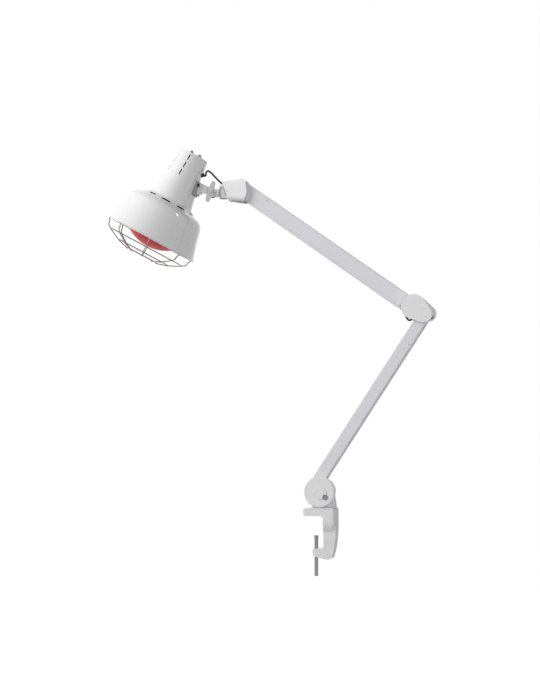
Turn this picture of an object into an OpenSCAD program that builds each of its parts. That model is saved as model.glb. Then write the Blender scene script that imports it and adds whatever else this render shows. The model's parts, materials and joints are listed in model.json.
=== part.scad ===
// Infrared heat therapy lamp on a bench clamp.
// A swivelling foot carries two arms, each a pair of nested channels that stay parallel,
// and the head hangs from the second arm on a pan pin and a tilt bolt with a wing nut.
// The arms lie in the XZ plane. The origin is on the upper jaw's face, over the clamp screw.

/* [Clamp] */
// Width of the clamp casting across the bench edge
clamp_w = 44; // [36:1:60]
// Thickness of the upper jaw
jaw_t = 15; // [11:0.5:20]
// Reach of the upper jaw in front of the clamp screw
jaw_reach = 24; // [16:1:34]
// Distance from the screw axis to the inner face of the spine
throat = 18; // [14:1:21]
// Thickness of the spine
spine_t = 25.5; // [25:0.5:34]
// Opening between the jaw and the screw lug
clamp_gap = 67; // [50:1:90]
// Thickness of the screw lug
lug_t = 14; // [10:1:20]
// Diameter of the clamp screw
screw_d = 8; // [6:0.5:10]
// Length of the clamp screw
screw_len = 76; // [60:1:90]
// Height of the captive tip on the screw
tip_h = 6.5; // [5.5:0.5:9]
// Distance from the jaw face to the screw tip at rest
tip_gap = 40.5; // [30:0.5:55]

/* [Swivel and foot] */
// Diameter of the swivel pin
swivel_d = 12.7; // [10:0.1:14]
// Wall of the bush in the clamp
bush_wall = 2.1; // [1.5:0.1:3]
// Depth of the bush in the clamp
bush_depth = 42; // [30:1:50]
// Distance from the clamp screw axis to the swivel axis
swivel_x = 30; // [28:0.5:32]
// Thickness of the foot's flange
foot_flange_t = 1.8; // [1.4:0.1:2]
// Half depth of the foot's flange
foot_flange_y = 20; // [14:1:22]
// Height of the foot's block above the clamp
foot_h = 28; // [22:1:30]
// Radius of the front cover
front_cover_r = 32; // [29:0.5:34]
// Radius of the rear cover
rear_cover_r = 27; // [25:0.5:31]
// Radius of the round cap in the front cover
cap_r = 13.3; // [10:0.1:15]
// Radius of the domed cover screw
dome_r = 5.6; // [4:0.1:6.5]
// Distance of the covers' centre from the clamp screw axis
cover_x = 10.8; // [8:0.2:14]
// Height of the front cover's lower edge above the clamp
cover_lift = 2.4; // [2.2:0.1:4]
// Distance from the covers' centre to the lower arm's middle line
arm_offset = 16.8; // [14:0.2:17]

/* [Arms] */
// Length of the lower arm between its pivots
lower_len = 422; // [350:1:480]
// Lean of the lower arm from vertical
lower_lean = 33.4; // [25:0.1:42]
// Width over both channels of the lower arm
lower_w = 25.8; // [24:0.2:32]
// Distance between the two pivots at each end of the lower arm
lower_link = 11; // [10:0.5:12]
// Length of the upper arm between its pivots
upper_len = 452; // [380:1:520]
// Rise of the upper arm from the elbow to the head
upper_rise = 36; // [28:0.1:44]
// Width over both channels of the upper arm
upper_w = 34.8; // [32:0.2:40]
// Distance between the two pivots at each end of the upper arm
upper_link = 18; // [16:0.5:20]
// Outer depth of the outer channels
channel_d = 23.6; // [22:0.2:30]
// Sheet thickness of the channels
sheet_t = 1.5; // [1.2:0.1:1.8]
// Side play between the nested channels
nest_gap = 0.4; // [0.3:0.05:0.6]
// Width of the lower arm's inner channel that shows past the outer one
lower_reveal = 3; // [2.5:0.5:4]
// Width of the upper arm's inner channel that shows past the outer one
upper_reveal = 5; // [4:0.5:6]
// Diameter of the pivot pins
pivot_d = 6; // [5:0.5:6.5]
// Length of the open end of each channel, where its web stops
web_cut = 26; // [25:0.5:30]
// Outside diameter of the balance springs
spring_d = 9; // [7:0.5:9.5]
// Number of coils of each balance spring
spring_coils = 34; // [20:1:40]

/* [Elbow] */
// Horizontal distance from the lower arm's pivots to the upper arm's pivots
elbow_dx = 27.8; // [27:0.1:34]
// Vertical distance from the lower arm's pivots to the upper arm's pivots
elbow_dz = 14.6; // [12:0.1:20]
// Radius of the elbow covers round the upper arm's pivots
elbow_r = 25.4; // [24:0.2:29]
// Radius of the front elbow cover at its outer end
elbow_nose_r = 17.7; // [15:0.1:20]
// Radius of the rear elbow cover at its outer end
elbow_lobe_r = 16.4; // [14:0.1:20]
// Depth of each elbow cover
elbow_cover_h = 7.5; // [6:0.5:11]

/* [Head bracket] */
// Length of the tapered cover from its mouth to its shoulder
bell_len = 56; // [50:1:64]
// Height of the tapered cover at its mouth
bell_mouth_h = 40; // [38:1:46]
// Height of the tapered cover at the arm
bell_arm_h = 53; // [50:1:62]
// Depth of the tapered cover at its mouth
bell_mouth_d = 29; // [28:1:34]
// Depth of the tapered cover at the arm
bell_arm_d = 44; // [40:1:52]
// Distance from the arm's pivots to the pan pin
pan_reach = 38; // [36:0.5:42]
// Diameter of the pan pin
pan_d = 6; // [5:0.5:8]
// Height of the pan barrel
barrel_h = 16; // [14:0.5:20]
// Distance from the pan pin to the tilt bolt
tilt_reach = 24.5; // [22:0.5:28]
// Diameter of the tilt bolt
bolt_d = 8; // [6:0.5:10]
// Thickness of the tongue and of the ear
ear_t = 8; // [6:0.5:9]
// Span of the wing nut over its two wings
wing_span = 46; // [36:1:50]
// Turn of the wing nut from upright
wing_turn = 19; // [0:1:90]

/* [Shade] */
// Tilt of the head from upright
head_tilt = 28.7; // [15:0.1:40]
// Height of the shade from its top to its rim
shade_h = 205; // [190:1:230]
// Radius of the shade at its rim
rim_r = 105; // [95:0.5:125]
// Radius of the shade's top
neck_top_r = 31; // [28:0.5:34]
// Radius that the neck's curve leans on halfway down
neck_mid_r = 36; // [34:0.5:39]
// Radius at the foot of the neck
neck_base_r = 49; // [45:0.5:54]
// Height of the neck
neck_h = 109; // [100:1:118]
// Radius of the band under the shoulder
band_r = 76; // [70:0.5:82]
// Sheet thickness of the shade
shade_t = 1.4; // [1.2:0.1:2]
// Radius of the rolled bead at the rim
bead_r = 1.8; // [1.5:0.1:3]
// Distance of the tilt bolt from the shade's axis
head_arm = 73; // [70:0.5:90]
// Turn of the head about the pan pin
head_turn = 5; // [-10:1:10]
// Depth of the tilt bolt below the shade's top
head_drop = 54.5; // [48:0.5:60]
// Height of the vent slots
vent_h = 3; // [2:0.1:4]
// Length of the neck's vent slots
neck_vent_w = 13; // [8:0.5:15]
// Width of the shoulder's vent slots
shoulder_vent_w = 20; // [14:0.5:26]
// Number of vent slots round the shoulder
shoulder_vents = 10; // [6:1:12]

/* [Lamp and guard] */
// Largest diameter of the bulb
bulb_d = 125; // [110:1:130]
// Length of the bulb with its cap
bulb_len = 176; // [165:1:185]
// Free depth over the bulb's cap in the lampholder
cap_play = 7; // [3:0.5:10]
// Radius of the bulb's face
face_r = 90; // [80:1:120]
// Length of the lampholder
holder_len = 56; // [50:1:62]
// Radius of the lampholder's skirt
holder_r = 24; // [21:0.5:27]
// Diameter of the guard's wire
wire_d = 2.2; // [1.8:0.1:3]
// Number of spokes in the guard
spokes = 8; // [6:1:10]
// Turn of the guard about the shade's axis
guard_turn = 17; // [0:1:44]
// Depth of the guard below the rim
guard_drop = 40; // [34:1:46]

/* [Lead] */
// Diameter of the internal lead where it shows
lead_d = 4; // [3:0.5:5]

/* [Fits] */
// Radial play of a turning fit
run_play = 0.05; // [0.02:0.01:0.1]
// Gap between parts that slide past each other
slide_gap = 0.3; // [0.2:0.05:0.5]
// Gap between the arms and the covers beside them
side_gap = 0.5; // [0.3:0.1:1]

/* [Hidden] */

$fn = 48;
// Overshoot of a cutting shape past the face that it opens
over = 1;

// Depth levels of the arms, measured from the middle plane
outer_y = channel_d / 2;
outer_in = outer_y - sheet_t;
inner_y = outer_in - nest_gap;
inner_in = inner_y - sheet_t;
core_y = inner_in - nest_gap;
cover_y = outer_y + side_gap;
pivot_r = pivot_d / 2;

// Places in the plane of the arms, as [x, z]
cover_c = [cover_x, jaw_t + cover_lift + front_cover_r];
lower_n = [cos(lower_lean), -sin(lower_lean)];
lower_u = [sin(lower_lean), cos(lower_lean)];
base_p = cover_c - arm_offset * lower_n;
elbow_p = base_p + lower_len * lower_u;
upper_n = [sin(upper_rise), cos(upper_rise)];
upper_u = [-cos(upper_rise), sin(upper_rise)];
upper_p = elbow_p + [-elbow_dx, elbow_dz];
head_p = upper_p + upper_len * upper_u;
base_outer = base_p + lower_link / 2 * lower_n;
base_inner = base_p - lower_link / 2 * lower_n;
lower_end_outer = elbow_p + lower_link / 2 * lower_n;
lower_end_inner = elbow_p - lower_link / 2 * lower_n;
upper_outer = upper_p + upper_link / 2 * upper_n;
upper_inner = upper_p - upper_link / 2 * upper_n;
head_outer = head_p + upper_link / 2 * upper_n;
head_inner = head_p - upper_link / 2 * upper_n;
// The pan barrel sits this far below the arm's pivots
pan_drop = 8;
pan_p = head_p - [pan_reach, pan_drop];
tilt_p = pan_p - [tilt_reach, 0];
head_top = tilt_p - turned([head_arm, -head_drop], head_tilt);

// Directions and outlines
// A smooth path through the points v
function smooth(v, n = 4) = [
  for (i = [0:len(v) - 2], k = [0:n - 1])
    let (a = v[max(i - 1, 0)], b = v[i], c = v[i + 1], d = v[min(i + 2, len(v) - 1)], t = k / n)
    b + (c - a) * t / 2 + (a - 2.5 * b + 2 * c - d / 2) * t * t
      + (1.5 * b - a / 2 - 1.5 * c + d / 2) * t * t * t,
  v[len(v) - 1]
];
function dir(a) = [cos(a), sin(a)];
// The [x, z] vector p, turned about Y
function turned(p, a) = [p[0] * cos(a) + p[1] * sin(a), p[1] * cos(a) - p[0] * sin(a)];
function arc(c, r, a0, a1, n = 8) = [for (i = [0:n]) c + r * dir(a0 + (a1 - a0) * i / n)];
// Points on the curve from a to c that leans on b
function curve(a, b, c, n = 8) =
  [for (i = [0:n]) let (t = i / n) (1 - t) * (1 - t) * a + 2 * t * (1 - t) * b + t * t * c];
function reversed(v) = [for (i = [len(v) - 1:-1:0]) v[i]];
// The direction of a path at its point i
function along(v, i) =
  let (d = v[min(i + 1, len(v) - 1)] - v[max(i - 1, 0)]) d / norm(d);
// The path v, moved by d to the right of its direction
function beside(v, d) =
  [for (i = [0:len(v) - 1]) let (t = along(v, i)) v[i] + d * [t[1], -t[0]]];

// The outline round two circles, with its straight sides touching both
module capsule(p1, r1, p2, r2) {
  d = p2 - p1;
  a = atan2(d[1], d[0]);
  b = acos((r1 - r2) / norm(d));
  translate(p1) circle(r1);
  translate(p2) circle(r2);
  polygon([p1 + r1 * dir(a + b), p1 + r1 * dir(a - b), p2 + r2 * dir(a - b), p2 + r2 * dir(a + b)]);
}

// An [x, z] outline made solid from y0 to y1
module slab(y0, y1) {
  translate([0, y1, 0]) rotate([90, 0, 0]) linear_extrude(y1 - y0) children();
}

// A [y, z] outline made solid from x0 to x1
module beam(x0, x1) {
  translate([x0, 0, 0]) rotate([90, 0, 90]) linear_extrude(x1 - x0) children();
}

// A round bar along Y through the place p
module rod_y(p, r, y0, y1) {
  translate([p[0], y1, p[1]]) rotate([90, 0, 0]) cylinder(r = r, h = y1 - y0);
}

// A revolved form on the Y axis through p, facing the front (-1) or the back (1)
module turned_y(p, y, side) {
  translate([p[0], side * y, p[1]]) rotate([side < 0 ? 90 : -90, 0, 0]) rotate_extrude() children();
}

// A rectangle with round corners, about the origin
module round_rect(w, h, r) {
  square([w - 2 * r, h], center = true);
  square([w, h - 2 * r], center = true);
  for (x = [-1, 1], y = [-1, 1]) translate([x * (w / 2 - r), y * (h / 2 - r)]) circle(r);
}

// A tube of radius r along a path of [x, z] points at y = 0
module tube(path, r, sides = 8) {
  last = len(path) - 1;
  rings = [for (i = [0:last], k = [0:sides - 1])
    let (t = along(path, i), a = 360 * k / sides)
    [path[i][0] - t[1] * r * cos(a), r * sin(a), path[i][1] + t[0] * r * cos(a)]];
  walls = [for (i = [0:last - 1], k = [0:sides - 1], half = [0, 1])
    let (a = i * sides + k, b = i * sides + (k + 1) % sides)
    half == 0 ? [a, b, b + sides] : [a, b + sides, a + sides]];
  caps = [for (k = [1:sides - 2], end = [0, 1])
    end == 0 ? [0, k + 1, k] : [last * sides, last * sides + k, last * sides + k + 1]];
  polyhedron(rings, concat(walls, caps));
}

// ---- Bench clamp ----
spine_x = throat + spine_t;
lug_z = -clamp_gap;
lug_reach = 8;
clamp_fillet = 5;
screw_r = screw_d / 2 - 0.1;
tip_r = screw_r + 0.4;
spigot_r = 2.5;
spigot_h = 3.7;
swivel_r = swivel_d / 2;
bush_r = swivel_r + run_play + bush_wall;

// The throat between the jaw and the lug, with its inner corners rounded
module clamp_throat() {
  far = 2 * jaw_reach;
  translate([-far, lug_z]) square([far + throat - clamp_fillet, clamp_gap]);
  translate([-far, lug_z + clamp_fillet]) square([far + throat, clamp_gap - 2 * clamp_fillet]);
  for (z = [-clamp_fillet, lug_z + clamp_fillet])
    translate([throat - clamp_fillet, z]) circle(clamp_fillet);
}

// Side view of the casting
module clamp_side() {
  nose = 4;
  heel_z = lug_z - lug_t - 7;
  difference() {
    polygon(concat(
      arc([-jaw_reach + nose, nose], nose, 270, 180),
      arc([-jaw_reach + nose, jaw_t - nose], nose, 180, 90),
      [[spine_x, jaw_t]],
      curve([spine_x, -12], [spine_x + 1, lug_z + 10], [spine_x - 9, heel_z + 3]),
      curve([spine_x - 14, heel_z], [throat, heel_z], [-lug_reach + 2, lug_z - lug_t]),
      arc([-lug_reach + nose, lug_z - nose], nose, 180, 90)
    ));
    clamp_throat();
  }
}

module clamp_frame() {
  low_w = 0.66 * clamp_w;
  corner = 6;
  color("gainsboro") difference() {
    intersection() {
      slab(-clamp_w / 2, clamp_w / 2) clamp_side();
      // Seen from the back, the casting narrows below the jaw
      beam(-2 * jaw_reach, 2 * spine_x) for (s = [-1, 1]) polygon([
        for (p = concat(
          [[-1, jaw_t + over], [clamp_w / 2, jaw_t + over]],
          curve([clamp_w / 2, -8], [clamp_w / 2, -20], [low_w / 2 + 1, -32], 6),
          [[low_w / 2, lug_z], [low_w / 2, 2 * lug_z], [-1, 2 * lug_z]])) [s * p[0], p[1]]]);
      // Seen from above, its corners are round and the lug is a tongue
      union() {
        translate([(spine_x - jaw_reach) / 2, 0, -throat])
          linear_extrude(jaw_t + throat + over) round_rect(spine_x + jaw_reach, clamp_w, corner);
        translate([0, 0, 2 * lug_z]) linear_extrude(-2 * lug_z - throat + over) {
          capsule([4, 0], 12, [spine_x - corner, 0], low_w / 2 - 1);
          translate([throat, -clamp_w / 2]) square([spine_t - corner, clamp_w]);
          translate([spine_x - corner, -clamp_w / 2 + corner]) square([corner, clamp_w - 2 * corner]);
        }
      }
    }
    translate([swivel_x, 0, jaw_t - bush_depth])
      cylinder(r = bush_r + 0.02, h = bush_depth + over);
    translate([0, 0, 2 * lug_z]) cylinder(r = screw_r + run_play, h = -lug_z + over);
  }
}

module swivel_bush() {
  floor_t = 1.5;
  color("dimgray") translate([swivel_x, 0, jaw_t - bush_depth]) difference() {
    cylinder(r = bush_r, h = bush_depth);
    translate([0, 0, floor_t]) cylinder(r = swivel_r + run_play, h = bush_depth);
  }
}

module clamp_tip() {
  color("gray") translate([0, 0, -tip_gap - tip_h]) difference() {
    union() {
      cylinder(r = tip_r, h = tip_h - 1);
      translate([0, 0, tip_h - 1]) cylinder(r1 = tip_r, r2 = tip_r - 0.8, h = 1, $fn = 48);
    }
    translate([0, 0, -over]) cylinder(r = spigot_r + run_play, h = spigot_h + slide_gap + over);
  }
}

module clamp_screw() {
  top = -tip_gap - tip_h - 0.1;
  hex_r = 2.4;
  hex_h = 4.5;
  color("dimgray") translate([0, 0, top]) difference() {
    union() {
      translate([0, 0, -screw_len]) cylinder(r = screw_r, h = screw_len);
      cylinder(r = spigot_r, h = spigot_h);
    }
    translate([0, 0, -screw_len - over]) cylinder(r = hex_r, h = hex_h + over, $fn = 6);
  }
}

// ---- Foot and its covers ----
foot_z = jaw_t + slide_gap;
block_z = foot_z + foot_h;
block_y = cover_y - 0.1;
foot_x0 = cover_x - 19;
foot_x1 = swivel_x + 11;
front_depth = clamp_w / 2 - cover_y;
rear_depth = 8;
cover_t = 2.4;
cover_screw_p = cover_c + [13.1, -11.2];
cap_p = cover_c + [2.1, -2];
cover_screw_r = 2.2;
boss_r = 4.6;
pin_h = 14;
core_r = 6.8;
spring_r = spring_d / 2;
hook_wire = 1;
hook_r = 3.3;
horn_t = 2.4;
horn_x = 18;
horn_hole = 2.3;
lower_spring_n = lower_w / 2 - sheet_t - spring_r - 1;
upper_spring_n = upper_w / 2 - sheet_t - spring_r - 1;

// A blade that holds a balance spring's hook, beside the outer pivot
module horn(outer, root, u, n, spring_n) {
  tip = root + horn_x * u + spring_n * n;
  slab(-horn_t / 2, horn_t / 2) difference() {
    capsule(outer, core_r, tip, 4.6);
    translate(tip) circle(horn_hole);
    translate(outer) circle(pivot_r + 0.02);
  }
}

module foot_side() {
  r = 4;
  left = cover_x - 16;
  polygon(concat(
    [[foot_x1, foot_z + foot_flange_t / 2], [foot_x1 - 3, block_z - 3]],
    arc([foot_x1 - 6, block_z - 3], 3, 0, 90),
    arc([left + r, block_z - r], r, 90, 180),
    arc([left - r, foot_z + foot_flange_t + r], r, 0, -90),
    [[left - r, foot_z + foot_flange_t / 2]]
  ));
}

module base_foot() {
  color("whitesmoke") difference() {
    union() {
      translate([(foot_x0 + foot_x1) / 2, 0, foot_z]) linear_extrude(foot_flange_t)
        round_rect(foot_x1 - foot_x0, 2 * foot_flange_y, 7);
      slab(-block_y, block_y) foot_side();
      slab(-core_y, core_y) {
        capsule(base_outer, core_r, base_inner, core_r);
        capsule([cover_x + 1, block_z - 14], 13, base_p, core_r);
      }
      horn(base_outer, base_p, lower_u, lower_n, lower_spring_n);
    }
    translate([swivel_x, 0, foot_z - over]) cylinder(r = swivel_r + 0.02, h = pin_h + 5 + over);
    rod_y(cover_screw_p, cover_screw_r + 0.05, -clamp_w, clamp_w);
    rod_y(base_outer, pivot_r + 0.02, -clamp_w, clamp_w);
    rod_y(base_inner, pivot_r + 0.02, -clamp_w, clamp_w);
  }
}

module swivel_pin() {
  low = jaw_t - bush_depth + 2.5;
  color("silver") translate([swivel_x, 0, low]) cylinder(r = swivel_r, h = foot_z + pin_h + 4 - low);
}

// Half section of a shallow cup with a rounded outer edge
module cup(r, d, t, f) {
  difference() {
    union() {
      square([r - f, d]);
      square([r, d - f]);
      translate([r - f, d - f]) circle(f);
    }
    translate([-over, -over]) square([r - t + over, d - t + over]);
  }
}

// A cover beside the foot, with the boss of its screw
module drum_cover(r, depth, side) {
  difference() {
    union() {
      turned_y(cover_c, cover_y, side) cup(r, depth, cover_t, 2.5);
      turned_y(cover_screw_p, cover_y, side) square([boss_r, depth - 1]);
    }
    rod_y(cover_screw_p, cover_screw_r + 0.1, -clamp_w, clamp_w);
    children();
  }
}

module base_front_cover() {
  color("white") drum_cover(front_cover_r, front_depth, -1)
    rod_y(cap_p, cap_r + 0.15, -clamp_w, -clamp_w / 2 + 1);
}

module base_rear_cover() {
  color("white") drum_cover(rear_cover_r, rear_depth, 1) rod_y(gland_p, gland_r, 0, clamp_w);
}

module base_cap() {
  color("whitesmoke") difference() {
    turned_y(cap_p, clamp_w / 2 - 0.9, -1) cup(cap_r, 2.2, 1.4, 1);
    rod_y(cover_screw_p, dome_r + slide_gap, -clamp_w, 0);
  }
}

// Domed screw on the front cover and a flat one on the rear cover
module base_cover_screws() {
  color("silver") {
    turned_y(cover_screw_p, clamp_w / 2 + 0.05, -1) intersection() {
      translate([0, 3 - dome_r * 1.3]) circle(dome_r * 1.3);
      square([dome_r, 3]);
    }
    rod_y(cover_screw_p, cover_screw_r, -clamp_w / 2 - 0.1, -2);
    turned_y(cover_screw_p, cover_y + rear_depth + 0.05, 1) difference() {
      cup(4.2, 2.4, 4.2, 1);
      translate([0, 1.2]) square([1.6, 3]);
    }
    rod_y(cover_screw_p, cover_screw_r, 2, cover_y + rear_depth + 0.1);
  }
}

// A pin with a head at each end, for the outer channels
module long_pin(p) {
  rod_y(p, pivot_r, -outer_y - 0.2, outer_y + 0.2);
  for (side = [-1, 1]) turned_y(p, outer_y + 0.1, side) cup(pivot_r + 1.6, 1.6, pivot_r + 1.6, 0.7);
}

// A pin that ends flush inside the outer channel, for the inner channels
module short_pin(p) {
  rod_y(p, pivot_r, -inner_y - 0.2, inner_y + 0.2);
}

module base_pivot_pins() {
  color("silver") {
    long_pin(base_outer);
    short_pin(base_inner);
  }
}

// Bushed inlet in the rear cover for the mains lead
gland_p = cover_c + [4, 12];
gland_r = 5;
module mains_gland() {
  color("black") turned_y(gland_p, cover_y + rear_depth - cover_t - 1, 1) {
    translate([3.2, 0]) square([gland_r - 3.3, 7]);
    translate([3.2, cover_t + 1.1]) square([gland_r - 1.6, 1.6]);
    translate([3.2, -0.6]) square([gland_r - 2.2, 1.5]);
  }
}

// ---- Arms ----
bend_r = 3;

// A U of sheet metal: its web lies at z = base and its flanges run to z = tip
module u_section(half, base, tip) {
  s = tip > base ? 1 : -1;
  difference() {
    u_block(half, base, tip, bend_r);
    u_block(half - sheet_t, base + s * sheet_t, tip + s * over, bend_r - sheet_t);
  }
}

module u_block(half, base, tip, r) {
  s = tip > base ? 1 : -1;
  translate([-half, min(base + s * r, tip)]) square([2 * half, abs(tip - base) - r]);
  translate([r - half, min(base, base + s * r)]) square([2 * (half - r), r]);
  for (x = [-1, 1]) translate([x * (half - r), base + s * r]) circle(r);
}

// Arm frame: x runs from the lower pivots to the upper ones, -z is the outer side
module arm_frame(p, u) {
  translate([p[0], 0, p[1]]) rotate([0, -atan2(u[1], u[0]), 0]) children();
}

module outer_channel(length, w, link, reveal, play) {
  base = -w / 2;
  tip = w / 2 - reveal;
  lug = w / 2 - link / 2;
  difference() {
    intersection() {
      beam(-lug, length + lug) u_section(outer_y, base, tip);
      slab(-outer_y, outer_y) {
        for (x = [0, length]) translate([x, -link / 2]) circle(lug);
        polygon([[0, base], [length, base], [length, base + 2 * lug], [length - web_cut, tip],
          [web_cut, tip], [0, base + 2 * lug]]);
      }
    }
    for (x = [-lug - over, length - web_cut])
      translate([x, -outer_in, base - over]) cube([web_cut + lug + over, 2 * outer_in, bend_r + 2 * over]);
    for (x = [0, length]) rod_y([x, -link / 2], pivot_r + play, -clamp_w, clamp_w);
    rod_y([anchor_x(length), -spring_n(w)], spring_pin_r + 0.02, -clamp_w, clamp_w);
  }
}

module inner_channel(length, w, link, play) {
  lug = w / 2 - link / 2;
  difference() {
    intersection() {
      beam(-lug, length + lug) u_section(inner_y, w / 2, link / 2 - lug - over);
      slab(-inner_y, inner_y) {
        for (x = [0, length]) translate([x, link / 2]) circle(lug);
        translate([0, 0]) square([length, w / 2]);
      }
    }
    for (x = [-lug - over, length - web_cut])
      translate([x, -inner_in, w / 2 - bend_r - over])
        cube([web_cut + lug + over, 2 * inner_in, bend_r + 2 * over]);
    rod_y([0, link / 2], pivot_r + play, -clamp_w, clamp_w);
    // The far pivot closes the loop, so it has a little more play
    rod_y([length, link / 2], pivot_r + 3 * play, -clamp_w, clamp_w);
  }
}

// ---- Balance springs ----
spring_pin_r = 2;
spring_pitch = 3.2;
function spring_n(w) = w / 2 - sheet_t - spring_r - 1;
function anchor_x(length) = length - 70;

// One wire hook: a ring that stands across Y (a = 90) or lies in the plane of X and Y (a = 0)
module hook(x, z, a) {
  translate([x, 0, z]) rotate([a, 0, 0]) rotate_extrude() translate([hook_r, 0]) circle(hook_wire, $fn = 16);
}

module balance_spring(length, w) {
  z = -spring_n(w);
  // The ring's inside clears the far edge of the horn's hole at both faces of the horn
  hook_x = horn_x + horn_hole - slide_gap / 2 + sqrt(pow(hook_r - hook_wire, 2) - pow(horn_t / 2, 2));
  end = anchor_x(length);
  coil_len = spring_coils * spring_pitch;
  start = end - 4.3 - coil_len;
  color("silver") {
    hook(hook_x, z, 0);
    hook(end, z, 90);
    translate([hook_x + hook_r, 0, z]) rotate([0, 90, 0]) cylinder(r = hook_wire, h = start - hook_x - 1);
    translate([start, 0, z]) rotate([0, 90, 0]) rotate_extrude() polygon(concat(
      [[0, 0]],
      [for (i = [0:spring_coils - 1], p = [[-0.7, 0], [0, 0.25], [0, 0.75], [-0.7, 1]])
        [spring_r + p[0], (i + p[1]) * spring_pitch]],
      [[0, coil_len]]
    ));
    translate([end - 4.6, 0, z]) rotate([0, 90, 0]) cylinder(r = hook_wire, h = 1.5);
  }
}

module spring_pin(length, w) {
  color("silver") {
    rod_y([anchor_x(length), -spring_n(w)], spring_pin_r, -outer_y - 0.4, outer_y + 0.4);
  }
}

module lower_outer_channel() {
  color("lavender") arm_frame(base_p, lower_u)
    outer_channel(lower_len, lower_w, lower_link, lower_reveal, run_play);
}

module lower_inner_channel() {
  color("lavender") arm_frame(base_p, lower_u) inner_channel(lower_len, lower_w, lower_link, run_play);
}

module upper_outer_channel() {
  color("lavender") arm_frame(upper_p, upper_u)
    outer_channel(upper_len, upper_w, upper_link, upper_reveal, run_play);
}

module upper_inner_channel() {
  color("lavender") arm_frame(upper_p, upper_u) inner_channel(upper_len, upper_w, upper_link, run_play);
}

module lower_spring() {
  arm_frame(base_p, lower_u) balance_spring(lower_len, lower_w);
}

module upper_spring() {
  arm_frame(upper_p, upper_u) balance_spring(upper_len, upper_w);
}

module lower_spring_pin() {
  arm_frame(base_p, lower_u) spring_pin(lower_len, lower_w);
}

module upper_spring_pin() {
  arm_frame(upper_p, upper_u) spring_pin(upper_len, upper_w);
}

// ---- Elbow ----
elbow_c = upper_p + [5.6, -0.4];
nose_c = elbow_p + [-3.1, -0.5];
lobe_c = elbow_p + [3.3, 2.2];
elbow_screw_p = upper_outer + [16.5, -2.2];
elbow_boss_r = 4;

// The casting fills the space between the covers where no arm passes
module elbow_rim() {
  lower_lug = lower_w / 2 - lower_link / 2 + 1.2;
  upper_lug = upper_w / 2 - upper_link / 2 + 1.2;
  difference() {
    intersection() {
      capsule(elbow_c, elbow_r, lobe_c, elbow_lobe_r);
      polygon([lower_end_outer + 9 * dir(-12), lower_end_outer + 60 * dir(-12),
        lobe_c + 60 * dir(45), elbow_c + 60 * dir(47), elbow_c + 17 * dir(40), lower_end_inner + 9 * dir(80)]);
    }
    translate(lower_end_outer) circle(lower_lug);
    translate(lower_end_inner) circle(lower_lug);
    translate(upper_outer) circle(upper_lug);
  }
}

module elbow_core() {
  color("whitesmoke") difference() {
    union() {
      slab(-core_y, core_y) {
        capsule(lower_end_outer, core_r, lower_end_inner, core_r);
        capsule(upper_outer, core_r, upper_inner, core_r);
        capsule(elbow_p, 9, upper_p, 9);
        capsule(upper_outer, core_r - 2, elbow_screw_p, elbow_boss_r - 0.3);
      }
      rod_y(elbow_screw_p, elbow_boss_r, -cover_y + 0.1, cover_y - 0.1);
      slab(-cover_y + 0.1, cover_y - 0.1) elbow_rim();
      horn(upper_outer, upper_p, upper_u, upper_n, upper_spring_n);
    }
    for (p = [lower_end_outer, lower_end_inner, upper_outer, upper_inner])
      rod_y(p, pivot_r + 0.02, -clamp_w, clamp_w);
    rod_y(elbow_screw_p, 1.6, -clamp_w, clamp_w);
  }
}

// A shallow tray over the round ends at a and b, open towards the arms
module tray(side, a, ra, b, rb, h, t) {
  y0 = side < 0 ? -cover_y - h : cover_y;
  inner = side < 0 ? -cover_y - h + t : cover_y - over;
  difference() {
    slab(y0, y0 + h) capsule(a, ra, b, rb);
    slab(inner, inner + h - t + over) capsule(a, ra - t, b, rb - t);
  }
}

module elbow_front_cover() {
  color("white") difference() {
    union() {
      tray(-1, elbow_c, elbow_r, nose_c, elbow_nose_r, elbow_cover_h, 2);
      rod_y(elbow_screw_p, elbow_boss_r, -cover_y - elbow_cover_h + 1, -cover_y);
    }
    rod_y(elbow_screw_p, 1.6, -cover_y - elbow_cover_h + 2, 0);
  }
}

module elbow_rear_cover() {
  color("white") difference() {
    union() {
      tray(1, elbow_c, elbow_r, lobe_c, elbow_lobe_r, elbow_cover_h, 2);
      rod_y(elbow_screw_p, elbow_boss_r, cover_y, cover_y + elbow_cover_h - 1);
    }
    rod_y(elbow_screw_p, 1.7, 0, clamp_w);
  }
}

module elbow_screw() {
  head_y = cover_y + elbow_cover_h + 0.05;
  color("silver") {
    rod_y(elbow_screw_p, 1.55, -cover_y - elbow_cover_h + 2.5, head_y + 0.5);
    turned_y(elbow_screw_p, head_y, 1) cup(3.2, 1.8, 3.2, 0.8);
  }
}

module elbow_pivot_pins() {
  color("silver") {
    long_pin(lower_end_outer);
    short_pin(lower_end_inner);
    long_pin(upper_outer);
    short_pin(upper_inner);
  }
}

module elbow_lead() {
  path = [for (p = [[-16.5, -20.5], [-18.8, -14], [-23, -9.6], [-29, -10.6], [-33.6, -12], [-37.6, -8.6],
    [-40.6, -3], [-43.8, 3.4], [-46.6, 9.4], [-50, 15], [-55, 20.5]]) elbow_p + p];
  color("black") tube(smooth(path), lead_d / 2);
}

// ---- Head bracket ----
pan_r = pan_d / 2;
barrel_r = 8;
lug_h = 5;
bell_t = 2;
bell_x0 = pan_p[0] - 0.6;
bell_x1 = bell_x0 + bell_len;
bell_z = pan_p[1] + 2.4;
bell_slot_x = pan_p[0] + 17;
bell_end_r = 42;
bell_screw_p = pan_p + [12.5, 0];

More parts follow.
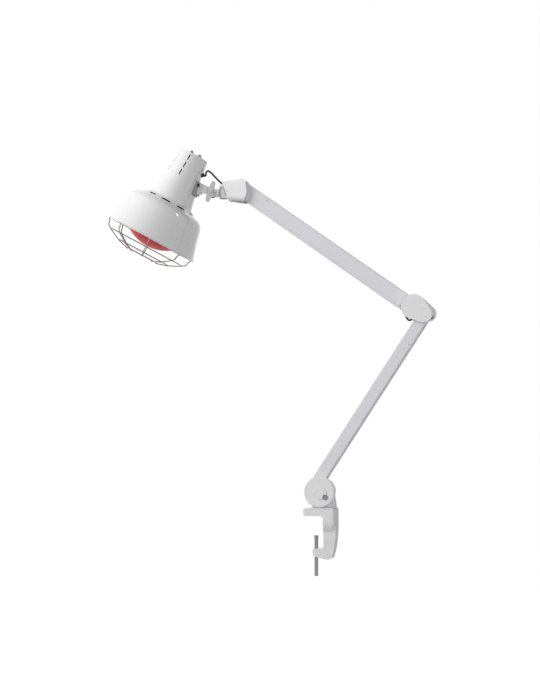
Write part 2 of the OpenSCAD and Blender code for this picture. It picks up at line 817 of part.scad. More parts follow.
module head_bracket() {
  half = barrel_h / 2 + slide_gap + lug_h;
  web_x = barrel_r + 1;
  color("whitesmoke") difference() {
    union() {
      slab(-core_y, core_y) {
        capsule(head_outer, core_r, head_inner, core_r);
        translate(pan_p + [web_x, -half]) square([8, 2 * half]);
        capsule(pan_p + [web_x + 7, 0], 7, head_p, 8);
        for (s = [-1, 1]) translate(pan_p + [0, s * (half - lug_h / 2) - lug_h / 2])
          square([web_x + 1, lug_h]);
      }
      for (s = [-1, 1]) translate([pan_p[0], 0, pan_p[1] + s * (half - lug_h / 2) - lug_h / 2])
        cylinder(r = barrel_r, h = lug_h);
    }
    translate([pan_p[0], 0, 0]) cylinder(r = pan_r + 0.02, h = 2 * head_p[1]);
    rod_y(head_outer, pivot_r + 0.02, -clamp_w, clamp_w);
    rod_y(head_inner, pivot_r + 0.02, -clamp_w, clamp_w);
    rod_y(bell_screw_p, 1.6, -clamp_w, clamp_w);
  }
}

// The tapered form of the covers, smaller by t all round
module bell_form(t) {
  hull() {
    beam(bell_x0 - 1, bell_x0) translate([0, bell_z])
      round_rect(bell_mouth_d - 2 * t, bell_mouth_h - 2 * t, 9 - t);
    beam(bell_x1 + 3, bell_x1 + 4) translate([0, bell_z - 2.6])
      round_rect(bell_arm_d - 2 * t, bell_arm_h - 2 * t, 12 - t);
  }
}

// Side view of the covers: a slanting mouth and a rounded end towards the arm
module bell_side(t) {
  low = bell_z - bell_arm_h;
  high = bell_z + bell_arm_h;
  mouth_x = bell_x0 - 10 * t;
  polygon(concat(
    [[bell_x1 - 8 - t, low], [mouth_x + 16, low]],
    curve([mouth_x + 16, bell_z - 20], [mouth_x + 7, bell_z + 6], [mouth_x, bell_z + 20], 6),
    [[mouth_x, high], [bell_x1 - 8 - t, high]],
    arc([bell_x1 + 2.5 - bell_end_r - t, bell_z - 2.6], bell_end_r, 38, -38, 14)
  ));
}

module bell_cover(side) {
  seam = 0.05;
  difference() {
    intersection() {
      bell_form(0);
      slab(-clamp_w, clamp_w) bell_side(0);
    }
    difference() {
      intersection() {
        bell_form(bell_t);
        slab(-clamp_w, clamp_w) bell_side(bell_t);
      }
      rod_y(bell_screw_p, elbow_boss_r, side < 0 ? -clamp_w : core_y + 0.1, side < 0 ? -core_y - 0.1 : clamp_w);
    }
    translate([bell_x0 - clamp_w, side < 0 ? -seam : -2 * clamp_w, 0])
      cube([2 * bell_len + clamp_w, 2 * clamp_w + seam, 2 * head_p[1]]);
    translate([bell_slot_x, -cover_y, 0]) cube([2 * bell_len, 2 * cover_y, 2 * head_p[1]]);
    rod_y(bell_screw_p, 1.7, -clamp_w, clamp_w);
  }
}

module bell_front_cover() {
  color("white") bell_cover(-1);
}

module bell_rear_cover() {
  color("white") bell_cover(1);
}

module bell_screw() {
  head_y = bell_mouth_d / 2 + 3.4;
  color("silver") {
    rod_y(bell_screw_p, 1.55, -bell_mouth_d / 2 - 1, head_y + 0.5);
    turned_y(bell_screw_p, head_y, 1) cup(3.2, 1.8, 3.2, 0.8);
  }
}

module head_pivot_pins() {
  color("silver") {
    long_pin(head_outer);
    short_pin(head_inner);
  }
}

module pan_pin() {
  half = barrel_h / 2 + slide_gap + lug_h;
  color("silver") translate([pan_p[0], 0, pan_p[1]]) {
    translate([0, 0, -half - 0.5]) cylinder(r = pan_r, h = 2 * half + 1);
    translate([0, 0, half + 0.05]) cylinder(r = pan_r + 2, h = 1.2);
    translate([0, 0, -half - 1.25]) cylinder(r = pan_r + 1.5, h = 1.2);
  }
}

// ---- Tilt joint ----
tilt_y = 0.5;
ear_y = tilt_y + ear_t;
ear_r = 8.5;
bolt_r = bolt_d / 2;

// What hangs from the pan pin is turned about it
module panned() {
  translate([pan_p[0], 0, 0]) rotate([0, 0, head_turn]) translate([-pan_p[0], 0, 0]) children();
}

module tilt_tongue() {
  color("white") panned() difference() {
    union() {
      translate([pan_p[0], 0, pan_p[1] - barrel_h / 2]) cylinder(r = barrel_r, h = barrel_h);
      slab(tilt_y, ear_y) capsule(tilt_p, ear_r, pan_p - [7, 0], barrel_h / 2 - 0.1);
      translate([pan_p[0] - 7, tilt_y, pan_p[1] - barrel_h / 2 + 0.1])
        cube([7, barrel_r - tilt_y - 1, barrel_h - 0.2]);
    }
    translate([pan_p[0], 0, 0]) cylinder(r = pan_r + run_play, h = 2 * head_p[1]);
    rod_y(tilt_p, bolt_r + 0.02, -clamp_w, clamp_w);
  }
}

module tilt_bolt() {
  color("gray") panned() {
    rod_y(tilt_p, bolt_r, -ear_y - 13, ear_y + 2);
    translate([tilt_p[0], ear_y + 1.65, tilt_p[1]]) rotate([-90, 0, 0])
      cylinder(r = bolt_r + 3, h = 4.5, $fn = 6);
  }
}

// The friction washer between tongue and ear, and the one under the bolt's head
module friction_washer() {
  color("black") panned() difference() {
    union() {
      rod_y(tilt_p, 8, -tilt_y + 0.05, tilt_y - 0.05);
      rod_y(tilt_p, 9.5, ear_y + 0.05, ear_y + 1.6);
    }
    rod_y(tilt_p, bolt_r + 0.05, -clamp_w, clamp_w);
  }
}

module wing_nut() {
  tip = (wing_span / 2 - 4) * dir(90 - wing_turn);
  front = -ear_y - 10;
  color("silver") panned() difference() {
    union() {
      turned_y(tilt_p, ear_y + 0.1, -1) cup(7.5, 9.9, 7.5, 2);
      slab(front, front + 7) {
        capsule(tilt_p, 6, tilt_p + tip, 4);
        capsule(tilt_p, 6, tilt_p - tip, 4);
      }
    }
    rod_y(tilt_p, bolt_r + run_play, -clamp_w, clamp_w);
  }
}

// ---- Head ----
// Head frame: z runs up the shade's axis from its top, and x points to the tilt bolt
module head_frame() {
  panned() translate([head_top[0], 0, head_top[1]]) rotate([0, head_tilt, 0]) children();
}

function neck_r(d) =
  let (t = d / neck_h) (1 - t) * (1 - t) * neck_top_r + 2 * t * (1 - t) * neck_mid_r + t * t * neck_base_r;

bolt_at = [head_arm, -head_drop];
plate_top = head_drop - 7.5;
plate_low = head_drop + 23.5;
plate_gap = 0.3;
plate_t = 4.5;
plate_turn = 24;
plate_holes = [[-18, head_drop], [18, head_drop + 16]];
hole_d = 30;
hole_r = 3.2;
// The lampholder's top and its closed back, down from the shade's top
holder_top = 12;
holder_back = 26;
stud_x = 10;
stud_r = 2;
shoulder_z = -neck_h - 14.7;
rim_z = -shade_h + bead_r;
rim_c = rim_r - bead_r;
shade_line = concat(
  [[0, 0], [neck_top_r / 2, 0]],
  arc([neck_top_r - 3, -3], 3, 90, 10, 4),
  [for (i = [1:9]) [neck_r(neck_h * i / 9.6), -neck_h * i / 9.6]],
  curve([neck_base_r - 0.3, -neck_h + 2], [neck_base_r + 2, -neck_h - 4],
    [neck_base_r + 13.4, -neck_h - 9.3], 5),
  curve([band_r - 7, -neck_h - 12.5], [band_r + 7.5, shoulder_z - 0.5],
    [band_r + 11, shoulder_z - 17.5], 9),
  [[rim_r - 12.7, -shade_h + 40], [rim_c + 0.7, rim_z - 0.3]]
);

module slot_at(a, r0, r1, z, w) {
  rotate([0, 0, a]) translate([r0, -w / 2, z - vent_h / 2]) cube([r1 - r0, w, vent_h]);
}

// A slot that runs down the neck, h long
module slot_down(a, r0, r1, z, h, w) {
  rotate([0, 0, a]) translate([r0, -w / 2, z - h / 2]) cube([r1 - r0, w, h]);
}

module shade() {
  color("white") head_frame() difference() {
    union() {
      rotate_extrude($fn = 120) polygon(concat(shade_line, reversed(beside(shade_line, shade_t))));
      translate([0, 0, rim_z]) rotate_extrude($fn = 120) translate([rim_c, 0]) circle(bead_r, $fn = 20);
    }
    for (a = [-150, -90, 90, 150], d = [12, 30, 48]) slot_down(a, neck_top_r - 8, neck_base_r, -d, neck_vent_w, vent_h);
    for (k = [0:shoulder_vents - 1])
      slot_at(-10 + 360 * k / shoulder_vents, neck_base_r + 3, band_r + 3, -neck_h - 7.3, shoulder_vent_w);
    translate([neck_top_r - 8, 0, -hole_d]) rotate([0, 90, 0]) cylinder(r = hole_r, h = 20);
    for (x = [-stud_x, stud_x]) translate([x, 0, -clamp_w]) cylinder(r = stud_r + 0.05, h = 2 * clamp_w);
    for (h = plate_holes) rotate([0, 0, h[0]]) translate([neck_top_r - 8, 0, -h[1]])
      rotate([0, 90, 0]) cylinder(r = 2.05, h = 30);
  }
}

module neck_plate() {
  color("dimgray") head_frame() difference() {
    rotate([0, 0, -plate_turn]) rotate_extrude(angle = 2 * plate_turn) polygon([
      [neck_r(plate_top) + plate_gap, -plate_top], [neck_r(plate_low) + plate_gap, -plate_low],
      [neck_r(plate_low) + plate_gap + plate_t, -plate_low],
      [neck_r(plate_top) + plate_gap + plate_t, -plate_top]]);
    for (h = plate_holes) rotate([0, 0, h[0]]) translate([neck_top_r - 8, 0, -h[1]])
      rotate([0, 90, 0]) cylinder(r = 2.05, h = 40);
  }
}

module neck_plate_screws() {
  color("black") head_frame() for (h = plate_holes)
    rotate([0, 0, h[0]]) translate([neck_r(h[1]) - 4, 0, -h[1]]) rotate([0, 90, 0]) {
      cylinder(r = 2, h = 4 + plate_gap + plate_t + 1.5);
      translate([0, 0, 4 + plate_gap + plate_t + 0.9]) cylinder(r = 3.3, h = 2);
    }
}

module tilt_ear() {
  root = neck_r(head_drop) + plate_gap + plate_t + 5;
  color("white") head_frame() difference() {
    slab(-ear_y, -tilt_y) {
      capsule(bolt_at, ear_r, [root, -head_drop - 1], ear_r);
      capsule([root, -head_drop - 1], ear_r, [root - 1, -head_drop - 8], ear_r + 1);
    }
    translate([0, 0, -2 * neck_h]) rotate_extrude() polygon([
      [0, 0], [neck_r(neck_h) + plate_gap + plate_t + 9, 0],
      for (d = [neck_h:-neck_h / 8:0]) [neck_r(d) + plate_gap + plate_t + 0.3, 2 * neck_h - d],
      [0, 2 * neck_h]]);
    rod_y(bolt_at, bolt_r + run_play, -clamp_w, clamp_w);
  }
}

module cap_nuts() {
  color("silver") head_frame() for (x = [-stud_x, stud_x]) translate([x, 0, 0.05]) difference() {
    union() {
      cylinder(r = 4.6, h = 3.6, $fn = 6);
      translate([0, 0, 3.4]) sphere(r = 3.6);
    }
    translate([0, 0, -5]) cylinder(r = stud_r + 0.05, h = 9.5);
    translate([-5, -5, -10]) cube([10, 10, 10]);
  }
}

module holder_studs() {
  color("silver") head_frame() for (x = [-stud_x, stud_x]) translate([x, 0, -holder_top - 6])
    cylinder(r = stud_r, h = holder_top + 6 + 4);
}

module holder_spacers() {
  color("silver") head_frame() for (x = [-stud_x, stud_x]) translate([x, 0, 0.05 - holder_top]) difference() {
    cylinder(r = 4, h = holder_top - 0.1 - shade_t);
    translate([0, 0, -1]) cylinder(r = stud_r + 0.05, h = 20);
  }
}

module lampholder() {
  color("ivory") head_frame() difference() {
    union() {
      translate([0, 0, -holder_top - holder_len]) cylinder(r = holder_r, h = holder_len - 8);
      translate([0, 0, -holder_top - 8.01]) cylinder(r1 = holder_r, r2 = holder_r - 5, h = 8.01);
    }
    translate([0, 0, -holder_top - holder_len - over]) cylinder(r = 13.6, h = holder_len - holder_back + over);
    for (x = [-stud_x, stud_x]) translate([x, 0, -holder_top - 6.5]) cylinder(r = stud_r + 0.05, h = 20);
  }
}

// ---- Bulb ----
cap_z = -holder_top - holder_back - cap_play;
crown_z = cap_z - bulb_len;

module bulb_cap() {
  turns = 5;
  h = 25;
  color("silver") head_frame() difference() {
    rotate_extrude() polygon(concat(
      [[0, cap_z], [4, cap_z], [5, cap_z - 3], [12, cap_z - 5]],
      [for (i = [0:turns - 1], p = [[12.4, 0], [13.3, 0.5]]) [p[0], cap_z - 6 - (i + p[1]) * 3.6]],
      [[12.6, cap_z - h], [12.6, cap_z - h - 2], [11.5, cap_z - h - 2], [11.5, cap_z - 7], [0, cap_z - 7]]
    ));
    translate([0, 0, cap_z - 2 * h]) cylinder(r = 11.2, h = h);
  }
}

module bulb_glass() {
  r = bulb_d / 2;
  z0 = cap_z - 27.1;
  edge = 12.5;
  face_z = crown_z + face_r;
  a = asin((r - edge) / face_r);
  line = concat(
    [[12, z0], [15, z0 - 0.7], [16.6, z0 - 3], [18, z0 - 8]],
    curve([20, z0 - 14], [24, z0 - 30], [40, z0 - 62], 7),
    curve([42.5, z0 - 67], [r, z0 - 98], [r, z0 - 112], 8),
    curve([r, z0 - 115], [r, z0 - 130], [face_r * sin(a + 1.5), face_z - face_r * cos(a + 1.5)], 6),
    [for (i = [0:6]) face_r * [sin(a - a * i / 6), -cos(a - a * i / 6)] + [0, face_z]]
  );
  wall = beside(line, 1.2);
  color("firebrick") head_frame() rotate_extrude($fn = 96)
    polygon(concat(line, [[0, crown_z + 1.2]], reversed([for (p = wall) [max(p[0], 0), p[1]]])));
}

// ---- Guard ----
wire_r = wire_d / 2;
guard_line = [
  [rim_c - 2.8, rim_z + 1.7], [rim_c - 8, -shade_h - 6], [rim_c - 9, -shade_h - 13],
  [rim_c - 17.8, -shade_h - guard_drop / 2 + 0.4], [rim_c - 44.6, -shade_h - guard_drop + 7],
  [rim_c / 3, -shade_h - guard_drop]
];

// A wire of the guard from a to b, given as [radius, z]
module wire(a, b) {
  d = b - a;
  translate([a[0], 0, a[1]]) rotate([0, atan2(d[0], d[1]), 0]) cylinder(r = wire_r, h = norm(d), $fn = 13);
}

module guard() {
  // The rings lie inside the spokes, sunk into them by a weld's depth
  lie = wire_d - 0.5;
  rings = [guard_line[0], guard_line[3] + [-0.5, 0.86] * lie, guard_line[4] + [-0.35, 0.94] * lie,
    guard_line[5] + [0, lie]];
  color("silver") head_frame() rotate([0, 0, guard_turn]) {
    for (p = rings) rotate_extrude($fn = 40) translate(p) circle(wire_r, $fn = 13);
    for (k = [0:spokes - 1]) rotate([0, 0, 360 * k / spokes]) {
      for (i = [0:len(guard_line) - 2]) wire(guard_line[i], guard_line[i + 1]);
      for (i = [1:len(guard_line) - 1])
        translate([guard_line[i][0], 0, guard_line[i][1]]) sphere(r = 1.08 * wire_r, $fn = 13);
    }
  }
}

// ---- Lead at the head ----
module neck_grommet() {
  color("black") head_frame() translate([neck_r(hole_d) - 3, 0, -hole_d]) rotate([0, 90, 0]) difference() {
    union() {
      cylinder(r = hole_r - 0.1, h = 7.5);
      translate([0, 0, 3.9]) cylinder(r = 5, h = 2.6);
      cylinder(r = 4.2, h = 1);
    }
    translate([0, 0, -1]) cylinder(r = lead_d / 2 + 0.1, h = 12);
  }
}

lead_top = tilt_p + [-9.5, 48];
lead_join = tilt_p + [-3, 44.5];
// The two leads meet end to end across this direction
lead_dir = [0.78, -0.626];

module neck_lead() {
  inside = head_top + turned([neck_r(hole_d) - 6, -hole_d], head_tilt);
  outside = head_top + turned([neck_r(hole_d) + 5, -hole_d], head_tilt);
  color("black") panned() tube(smooth([inside, outside, outside + [3.8, 0.9], lead_top - [4, 3.2], lead_top,
    lead_join - 2.5 * lead_dir, lead_join - 0.15 * lead_dir]), lead_d / 2);
}

module arm_lead() {
  path = [for (p = [[4, 37.2], [12, 28.5], [18.5, 22.2], [24.5, 18.2], [31, 16.9], [38, 16.8]]) tilt_p + p];
  color("black") panned() tube(smooth(concat([lead_join + 0.15 * lead_dir, lead_join + 2.5 * lead_dir], path)),
    lead_d / 2);
}

// ---- Drawing ----
clamp_frame();
swivel_bush();
clamp_tip();
clamp_screw();
base_foot();
swivel_pin();
base_front_cover();
base_rear_cover();
base_cap();
base_cover_screws();
base_pivot_pins();
mains_gland();
lower_outer_channel();
lower_inner_channel();
lower_spring();
lower_spring_pin();
elbow_core();
elbow_front_cover();
elbow_rear_cover();
elbow_pivot_pins();
elbow_screw();
elbow_lead();
upper_outer_channel();
upper_inner_channel();
upper_spring();
upper_spring_pin();
head_bracket();
bell_front_cover();
bell_rear_cover();
bell_screw();
head_pivot_pins();
pan_pin();
tilt_tongue();
tilt_bolt();
friction_washer();
wing_nut();
tilt_ear();
neck_plate();
neck_plate_screws();
shade();
cap_nuts();
holder_studs();
holder_spacers();
lampholder();
bulb_cap();
bulb_glass();
guard();
neck_grommet();
neck_lead();
arm_lead();
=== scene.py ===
"""Looks of the infrared heat therapy lamp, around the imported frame. Lengths are in metres."""
import json
import math

import bpy
from mathutils import Matrix, Vector


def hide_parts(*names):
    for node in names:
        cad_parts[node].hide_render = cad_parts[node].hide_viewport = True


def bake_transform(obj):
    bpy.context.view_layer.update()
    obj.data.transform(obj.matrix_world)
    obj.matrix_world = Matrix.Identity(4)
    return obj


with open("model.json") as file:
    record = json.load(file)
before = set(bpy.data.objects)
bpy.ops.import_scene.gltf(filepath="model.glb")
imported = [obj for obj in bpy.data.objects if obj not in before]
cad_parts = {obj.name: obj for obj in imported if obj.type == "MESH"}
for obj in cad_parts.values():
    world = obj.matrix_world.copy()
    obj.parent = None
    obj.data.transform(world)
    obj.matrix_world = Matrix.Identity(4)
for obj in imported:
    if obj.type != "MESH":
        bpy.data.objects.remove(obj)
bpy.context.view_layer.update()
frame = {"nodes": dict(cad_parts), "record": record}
nodes = frame["nodes"]


# ---- Shader nodes ----
def add(tree, kind, values=None):
    """A new node, with values set on its sockets by name or number."""
    node = tree.nodes.new(kind)
    for socket, value in (values or {}).items():
        node.inputs[socket].default_value = value
    return node


def new_material(name):
    material = bpy.data.materials.new(name)
    material.use_nodes = True
    tree = material.node_tree
    return material, tree, tree.nodes["Principled BSDF"]


def noise(tree, scale, detail, stretch=(1, 1, 1)):
    """Noise in the object's own metres, from 0 to 1."""
    coords = add(tree, "ShaderNodeTexCoord")
    mapping = add(tree, "ShaderNodeMapping", {"Scale": stretch})
    tree.links.new(coords.outputs["Object"], mapping.inputs["Vector"])
    texture = add(tree, "ShaderNodeTexNoise", {"Scale": scale, "Detail": detail})
    tree.links.new(mapping.outputs["Vector"], texture.inputs["Vector"])
    return texture.outputs["Fac"]


def between_colours(tree, source, low, high):
    node = add(tree, "ShaderNodeValToRGB")
    for element, position, colour in zip(node.color_ramp.elements, (0.35, 0.65), (low, high)):
        element.position = position
        element.color = (*colour, 1)
    tree.links.new(source, node.inputs["Fac"])
    return node.outputs["Color"]


def between(tree, source, low, high):
    node = add(tree, "ShaderNodeMapRange",
               {"From Min": 0.3, "From Max": 0.7, "To Min": low, "To Max": high})
    tree.links.new(source, node.inputs["Value"])
    return node.outputs["Result"]


def bump(tree, shader, source, strength, distance):
    node = add(tree, "ShaderNodeBump", {"Strength": strength, "Distance": distance})
    tree.links.new(source, node.inputs["Height"])
    tree.links.new(node.outputs["Normal"], shader.inputs["Normal"])


def mixed(tree, share, first, second):
    """The first shader where share is 0 and the second where it is 1."""
    node = add(tree, "ShaderNodeMixShader")
    tree.links.new(share, node.inputs["Fac"])
    tree.links.new(first.outputs[0], node.inputs[1])
    tree.links.new(second.outputs[0], node.inputs[2])
    return node.outputs[0]


def shows_backdrop(tree):
    """1 for rays that show the background: the camera's, and those off gloss or through glass."""
    path = add(tree, "ShaderNodeLightPath")
    rays = path.outputs["Is Camera Ray"]
    for kind in ("Is Glossy Ray", "Is Transmission Ray"):
        either = add(tree, "ShaderNodeMath")
        either.operation = "MAXIMUM"
        tree.links.new(rays, either.inputs[0])
        tree.links.new(path.outputs[kind], either.inputs[1])
        rays = either.outputs[0]
    return rays


# ---- Materials ----
def finish(tree, shader, broad, colour, rough, vary, smoothest, roughest):
    """Colour and gloss that drift a little over the surface."""
    darker = tuple(c * (1 - vary) for c in colour)
    tree.links.new(between_colours(tree, broad, darker, colour), shader.inputs["Base Color"])
    tree.links.new(between(tree, broad, rough * smoothest, rough * roughest), shader.inputs["Roughness"])


def painted(name, colour, rough, coat=0.0, peel=0.10, peel_scale=900, vary=0.02):
    """Sprayed paint or enamel: slight orange peel, uneven gloss and colour."""
    material, tree, shader = new_material(name)
    broad = noise(tree, 14, 4)
    fine = noise(tree, peel_scale, 2)
    finish(tree, shader, broad, colour, rough, vary, 0.88, 1.15)
    shader.inputs["Coat Weight"].default_value = coat
    shader.inputs["Coat Roughness"].default_value = 0.04
    bump(tree, shader, fine, peel, 0.0002)
    return material


def metal(name, colour, rough, brushed=(1, 1, 1), vary=0.12):
    """Turned or plated metal: fine lines, patches of duller plating."""
    material, tree, shader = new_material(name)
    broad = noise(tree, 60, 4)
    lines = noise(tree, 1500, 2, brushed)
    finish(tree, shader, broad, colour, rough, vary, 0.8, 1.3)
    shader.inputs["Metallic"].default_value = 1.0
    bump(tree, shader, lines, 0.12, 0.0001)
    return material


# Each finish: how it is made, its colour, its roughness, and what differs from the usual
FINISHES = {
    "clamp_paint": (painted, (0.79, 0.78, 0.78), 0.42, dict(peel=0.10, peel_scale=600, vary=0.05)),
    "cover_white": (painted, (0.80, 0.80, 0.80), 0.28, dict(coat=0.3, peel=0.04, peel_scale=700)),
    "arm_paint": (painted, (0.74, 0.74, 0.78), 0.40, dict(peel=0.03, peel_scale=800)),
    "shade_white": (painted, (0.80, 0.80, 0.81), 0.16,
                    dict(coat=0.6, peel=0.05, peel_scale=420, vary=0.01)),
    "bright_steel": (metal, (0.50, 0.50, 0.51), 0.30, dict(brushed=(1, 0.15, 1))),
    "dark_steel": (metal, (0.30, 0.30, 0.31), 0.36, dict(brushed=(1, 1, 0.1))),
    "plate_grey": (painted, (0.40, 0.40, 0.41), 0.45, dict(peel=0.2, peel_scale=700, vary=0.1)),
    "wire_grey": (metal, (0.30, 0.28, 0.27), 0.32, {}),
    # Darker steel for domed nuts and screws: a painted dark reflection
    "nut_steel": (metal, (0.24, 0.24, 0.25), 0.22, {}),
    "black_rubber": (painted, (0.012, 0.012, 0.013), 0.5, dict(peel=0.15, peel_scale=1200, vary=0.2)),
    "holder_ceramic": (painted, (0.72, 0.70, 0.63), 0.55, dict(peel=0.25, peel_scale=1500, vary=0.06)),
    "bulb_red": (painted, (0.62, 0.02, 0.02), 0.40, dict(peel=0.05, peel_scale=300, vary=0.10)),
}
MATERIALS = {name: make(name, colour, rough, **other)
             for name, (make, colour, rough, other) in FINISHES.items()}

# The head's axis, from its top towards the bulb's face, and where its top lies along it
HEAD_AXIS = (-0.4784, -0.04185, -0.87715)
HEAD_TOP = -0.5452
# The red coating begins this far below the top, at the bulb's widest place
COATING_FROM, COATING_FULL = 0.168, 0.172


def silver_above(material):
    """Keep the bulb's face red with a painted glow, and silver the reflector above its widest place in a
    dark silver that is partly painted shade.
    """
    tree = material.node_tree
    red = tree.nodes["Principled BSDF"]
    # Painted glow: a faint red emission on the unlit bulb's face, as if its coating were lit from inside
    red.inputs["Emission Color"].default_value = (0.8, 0.05, 0.04, 1)
    red.inputs["Emission Strength"].default_value = 0.18
    red.inputs["Specular IOR Level"].default_value = 0.25
    # The silvered reflector is real, but its dark tone is painted shade: it makes the vents in the
    # shade's neck show dark
    silver = add(tree, "ShaderNodeBsdfPrincipled",
                 {"Base Color": (0.20, 0.20, 0.21, 1), "Metallic": 1.0, "Roughness": 0.3})
    coords = add(tree, "ShaderNodeTexCoord")
    depth = add(tree, "ShaderNodeVectorMath", {1: HEAD_AXIS})
    depth.operation = "DOT_PRODUCT"
    tree.links.new(coords.outputs["Object"], depth.inputs[0])
    border = add(tree, "ShaderNodeMapRange",
                 {"From Min": HEAD_TOP + COATING_FROM, "From Max": HEAD_TOP + COATING_FULL})
    tree.links.new(depth.outputs["Value"], border.inputs["Value"])
    zones = mixed(tree, border.outputs["Result"], silver, red)
    tree.links.new(zones, tree.nodes["Material Output"].inputs["Surface"])


silver_above(MATERIALS["bulb_red"])

# ---- The part's own solids ----
SLOTS = {p["node"]: p["material_slot"] for p in frame["record"]["subparts"]}
# Domed nuts and screws are darker than the record's steel: a painted dark reflection in place of the
# white they would mirror
SLOTS.update({"cap_nuts": "nut_steel", "base_cover_screws": "nut_steel", "elbow_screw": "nut_steel"})
BEVELS = {
    "clamp_frame": 0.0012, "base_foot": 0.0008, "base_front_cover": 0.0003, "tilt_tongue": 0.0007,
    "tilt_ear": 0.0007, "head_bracket": 0.0005, "elbow_front_cover": 0.0014, "elbow_rear_cover": 0.0014,
    "wing_nut": 0.0010, "neck_plate": 0.0005, "lampholder": 0.0008, "tilt_bolt": 0.0004,
    "bell_front_cover": 0.0006, "bell_rear_cover": 0.0006, "cap_nuts": 0.0003,
}
for name, obj in nodes.items():
    if len(obj.data.materials) == 0:
        obj.data.materials.append(None)
    for i in range(len(obj.data.materials)):
        obj.data.materials[i] = MATERIALS[SLOTS[name]]
    if name in BEVELS:
        edge = obj.modifiers.new("edge", "BEVEL")
        edge.width = BEVELS[name]
        edge.segments = 3
        edge.limit_method = "ANGLE"
        edge.angle_limit = math.radians(38)
        edge.harden_normals = True


# ---- Camera and lamps ----
def place(name, data, position, target):
    """An object in the scene that looks at target."""
    obj = bpy.data.objects.new(name, data)
    bpy.context.collection.objects.link(obj)
    obj.location = position
    obj.rotation_euler = (Vector(target) - Vector(position)).to_track_quat("-Z", "Y").to_euler()
    return obj


def lamp(name, position, target, size, power, glossy=False):
    data = bpy.data.lights.new(name, "AREA")
    data.shape = "RECTANGLE"
    data.size, data.size_y = size
    data.energy = power
    place(name, data, position, target).visible_glossy = glossy


camera = bpy.data.cameras.new("camera")
camera.sensor_fit = "VERTICAL"
camera.sensor_height = 36
camera.lens = 61.2
bpy.context.scene.camera = place("camera", camera, (0.5468, -2.4094, 0.1757), (-0.0987, 0, 0.3434))

lamp("key", (-2.4, -1.3, 1.9), (-0.2, 0, 0.45), (1.8, 1.8), 86)
lamp("low", (1.3, -2.7, -0.1), (0.1, 0, 0.15), (1.6, 1.6), 35)
lamp("back", (-0.6, 3.2, 1.6), (0, 0, 0.35), (2.0, 1.6), 60)
# Small and seen in gloss, for the highlight on the shade
lamp("spark", (2.2, -0.6, 1.8), (-0.3, 0, 0.6), (0.26, 0.26), 3.0, glossy=True)

# ---- White background ----
WHITE = (1, 1, 1, 1)
AMBIENT = 0.17
world = bpy.data.worlds.new("studio")
bpy.context.scene.world = world
world.use_nodes = True
tree = world.node_tree
tree.nodes.clear()
ambient = add(tree, "ShaderNodeBackground", {"Color": WHITE, "Strength": AMBIENT})
backdrop = add(tree, "ShaderNodeBackground", {"Color": WHITE, "Strength": 1.0})
output = add(tree, "ShaderNodeOutputWorld")
tree.links.new(mixed(tree, shows_backdrop(tree), ambient, backdrop), output.inputs["Surface"])

# The floor looks white, but throws back only a little of the lamps' light. It lies low enough
# for views from below.
FLOOR_SIZE, FLOOR_Z = 30, -1.4
bpy.ops.mesh.primitive_plane_add(size=FLOOR_SIZE, location=(0, 0, FLOOR_Z))
floor = bpy.context.object
floor.name = "floor"
material, tree, matt = new_material("floor")
matt.inputs["Base Color"].default_value = (0.15, 0.15, 0.15, 1)
matt.inputs["Roughness"].default_value = 0.9
matt.inputs["Specular IOR Level"].default_value = 0.0
glow = add(tree, "ShaderNodeEmission", {"Strength": 0.99})
both = add(tree, "ShaderNodeAddShader")
tree.links.new(matt.outputs[0], both.inputs[0])
tree.links.new(glow.outputs[0], both.inputs[1])
bounce = add(tree, "ShaderNodeBsdfDiffuse", {"Color": (0.3, 0.3, 0.3, 1)})
shown = mixed(tree, shows_backdrop(tree), bounce, both)
tree.links.new(shown, tree.nodes["Material Output"].inputs["Surface"])
floor.data.materials.append(material)

bpy.context.scene.view_settings.view_transform = "Standard"

# ---- Leads ----
LEAD_R = 0.002
LEAD_SIDES = 16
ROUTE_STEPS = 6


def spline(points, steps):
    """Points on a smooth curve through the given ones."""
    curve = []
    for i in range(len(points) - 1):
        a, b, c, d = (Vector(points[min(max(i + k, 0), len(points) - 1)]) for k in (-1, 0, 1, 2))
        for k in range(steps):
            t = k / steps
            curve.append(b + (c - a) * t / 2 + (a - 2.5 * b + 2 * c - d / 2) * t * t
                         + (1.5 * b - a / 2 - 1.5 * c + d / 2) * t ** 3)
    curve.append(Vector(points[-1]))
    return curve


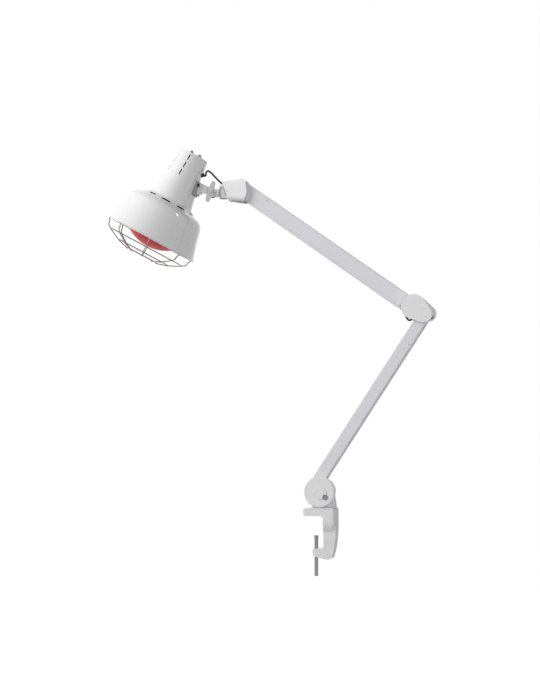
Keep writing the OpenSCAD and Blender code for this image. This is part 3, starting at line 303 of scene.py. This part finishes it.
def tube(name, path, r, sides):
    """A tube along path, closed by a flat face at each end."""
    verts, faces = [], []
    across = Vector((0, 1, 0))
    n = len(path)
    for i, p in enumerate(path):
        t = (path[min(i + 1, n - 1)] - path[max(i - 1, 0)]).normalized()
        side = t.cross(across).normalized()
        top = side.cross(t).normalized()
        for k in range(sides):
            a = 2 * math.pi * k / sides
            verts.append(p + side * r * math.cos(a) + top * r * math.sin(a))
    for i in range(n - 1):
        for k in range(sides):
            a, b = i * sides + k, i * sides + (k + 1) % sides
            faces.append((a, b, b + sides, a + sides))
    faces.append(tuple(reversed(range(sides))))
    faces.append(tuple((n - 1) * sides + k for k in range(sides)))
    mesh = bpy.data.meshes.new(name)
    mesh.from_pydata([tuple(v) for v in verts], [], faces)
    mesh.update()
    for poly in mesh.polygons:
        poly.use_smooth = len(poly.vertices) == 4
    obj = bpy.data.objects.new(name, mesh)
    bpy.context.collection.objects.link(obj)
    obj.data.materials.append(MATERIALS["black_rubber"])
    return obj


def route(points, turn=Matrix.Identity(4)):
    """The source's own route, from its x and z in millimetres."""
    return spline([turn @ Vector((x / 1000, 0, z / 1000)) for x, z in points], ROUTE_STEPS)


def lead(name, node, path):
    """A stretch of lead along path, shown in place of the node, which is hidden."""
    obj = tube(name, path, LEAD_R, LEAD_SIDES)
    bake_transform(obj)
    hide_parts(node)


# The head's two stretches lie in its plane, which is turned about the pan pin at rest
PAN_PIN = Vector((-0.2023983, 0, 0))
REST_PAN = math.radians(5)
head_turn = (Matrix.Translation(PAN_PIN) @ Matrix.Rotation(REST_PAN, 4, "Z")
             @ Matrix.Translation(-PAN_PIN))
neck_route = route([
    (-254.3, 726.2), (-250.6, 724.0), (-247.0, 721.9), (-243.5, 720.7), (-241.0, 721.9), (-240.3, 725.2),
    (-239.9, 728.6), (-237.6, 731.0), (-234.6, 731.0), (-231.9, 729.4), (-229.9, 727.7)], head_turn)
arm_route = route([
    (-229.9, 727.7), (-227.95, 726.17), (-222.9, 720.4), (-214.9, 711.7), (-208.4, 705.4),
    (-202.4, 701.4), (-195.9, 700.1), (-188.9, 700.0)], head_turn)
elbow_route = route([
    (212.58, 390.45), (210.28, 396.95), (206.08, 401.35), (200.08, 400.35), (195.48, 398.95),
    (191.48, 402.35), (188.48, 407.95), (185.28, 414.35), (182.48, 420.35), (179.08, 425.95),
    (174.08, 431.45)])
# The lead at the elbow crosses two joints, so it is cut in two at this point of its route
ELBOW_CUT = 33

lead("neck_lead_sheath", "neck_lead", neck_route)
lead("arm_lead_sheath", "arm_lead", arm_route)
lead("elbow_lead_low", "elbow_lead", elbow_route[:ELBOW_CUT + 1])
lead("elbow_lead_high", "elbow_lead", elbow_route[ELBOW_CUT:])
